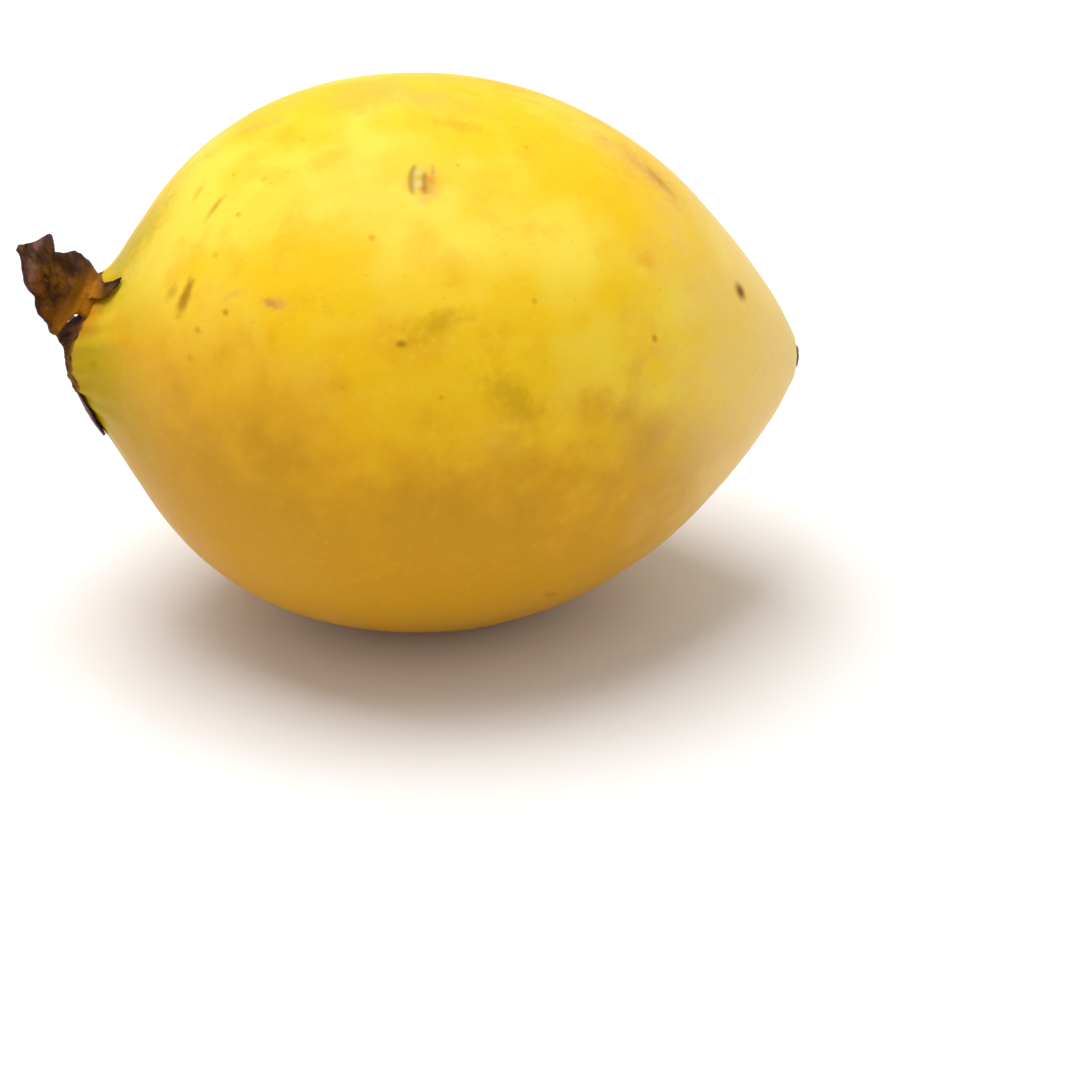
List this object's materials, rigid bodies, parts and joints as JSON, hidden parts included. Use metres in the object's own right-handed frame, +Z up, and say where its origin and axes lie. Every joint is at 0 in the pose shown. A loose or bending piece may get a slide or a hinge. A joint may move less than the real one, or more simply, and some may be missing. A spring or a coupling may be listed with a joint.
{
  "type": "guava",
  "caption": "Whole ripe guava: an egg-shaped yellow fruit resting on its side, with a torn dried calyx at one end and a stalk scar at the other.",
  "frame": {"origin": "on the surface that the fruit rests on, under the middle of its bounding box", "axes": "+Z up; X along the fruit, with the dried calyx at -X and the stalk end at +X; -Y is the near side"},
  "size_m": [0.0926, 0.0658, 0.066],
  "materials": {
    "skin": "waxy satin fruit skin",
    "dried_sepal": "dry and papery",
    "dried_style": "dry, pale and withered",
    "stalk_cork": "rough and corky"
  },
  "bodies": {
    "root": {"fruit": "skin", "sepal_flap": "dried_sepal", "sepal_tip": "dried_sepal", "sepal_near": "dried_sepal", "sepal_under": "dried_sepal", "sepal_far": "dried_sepal", "calyx_disc": "dried_sepal", "style_stub": "dried_style", "stalk_scar": "stalk_cork"}
  },
  "joints": []
}
